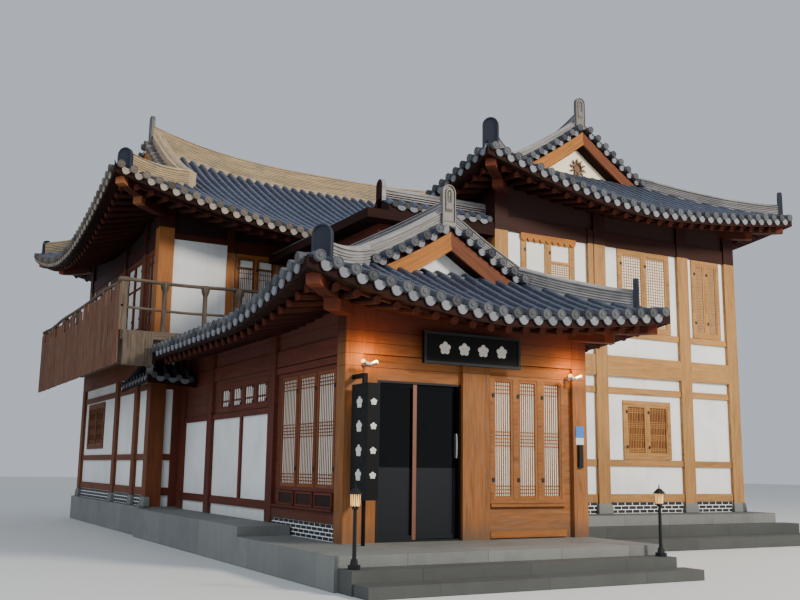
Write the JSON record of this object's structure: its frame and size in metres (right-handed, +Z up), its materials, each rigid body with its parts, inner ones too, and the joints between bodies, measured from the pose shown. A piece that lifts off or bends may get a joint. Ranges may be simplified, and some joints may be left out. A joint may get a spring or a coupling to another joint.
{
  "type": "building",
  "caption": "Two-storey traditional Korean tiled-roof timber house with a single-storey entrance wing, a balcony and a sliding glass door.",
  "frame": {"origin": "bottom centre of the house's box, at ground level", "axes": "+X to the right along the entrance front, +Y to the back, +Z up"},
  "size_m": [14.6, 19.2803, 10.4297],
  "materials": {
    "granite": "light flamed granite slabs, dusty",
    "dark_granite": "dark worn granite steps",
    "floor_boards": "waxed honey floor boards",
    "orange_timber": "oiled orange-brown pine",
    "red_timber": "dark red-brown stained pine",
    "honey_timber": "pale honey pine",
    "white_plaster": "smooth white lime plaster",
    "cream_plaster": "cream plaster",
    "clay_tile": "dark blue-grey fired clay roof tile",
    "grey_ridge": "stacked light grey ridge tiles",
    "tan_ridge": "stacked tan ridge tiles",
    "grey_boards": "weathered grey-brown boards",
    "black_metal": "satin black paint",
    "dark_glass": "dark tinted glass in a black frame"
  },
  "bodies": {
    "house": {"entrance_platform": "granite", "entrance_steps": "dark_granite", "main_platform": "granite", "main_steps": "dark_granite", "entrance_floor": "floor_boards", "main_floor": "floor_boards", "upper_floor": "floor_boards", "entrance_front_frame": "orange_timber", "entrance_wall_beside_door": "orange_timber", "entrance_wall_over_door": "orange_timber", "entrance_window_wall": "orange_timber", "entrance_window": "orange_timber", "door_frame": "black_metal", "door_fixed_pane": "dark_glass", "entrance_left_frame": "red_timber", "entrance_left_wall": "white_plaster", "entrance_left_window": "red_timber", "entrance_clerestory": "red_timber", "entrance_right_wall": "white_plaster", "entrance_roof": "clay_tile", "entrance_gable": "white_plaster", "entrance_ridges": "grey_ridge", "entrance_rear_gable": "red_timber", "main_front_frame": "orange_timber", "main_front_wall": "white_plaster", "main_shutters": "honey_timber", "main_upper_windows": "orange_timber", "main_left_frame": "orange_timber", "main_left_wall": "white_plaster", "main_roof": "clay_tile", "main_gable": "cream_plaster", "main_ridges": "grey_ridge", "link_walls": "white_plaster", "link_roof": "red_timber", "link_coping": "clay_tile", "wing_front_frame": "orange_timber", "wing_front_wall": "white_plaster", "wing_front_window": "orange_timber", "wing_left_frame": "red_timber", "wing_left_wall": "white_plaster", "wing_shutters": "red_timber", "wing_upper_windows": "red_timber", "rear_frame": "red_timber", "rear_wall": "white_plaster", "rear_upper_windows": "red_timber", "right_frame": "orange_timber", "right_wall": "white_plaster", "right_upper_windows": "orange_timber", "back_roof": "clay_tile", "back_ridges": "tan_ridge", "balcony_deck": "grey_boards", "balcony_front_rail": "grey_boards", "balcony_side_boards": "grey_boards", "side_canopy": "clay_tile", "sign_board": "black_metal", "sign_box": "black_metal", "lamp_left": "black_metal", "lamp_right": "black_metal"},
    "entrance_door": {"door_leaf": "dark_glass"}
  },
  "joints": [
    {"name": "door_slide", "type": "slide", "parent": "house", "child": "entrance_door", "axis": [-1, 0, 0], "range_m": [0, 0.58]}
  ]
}
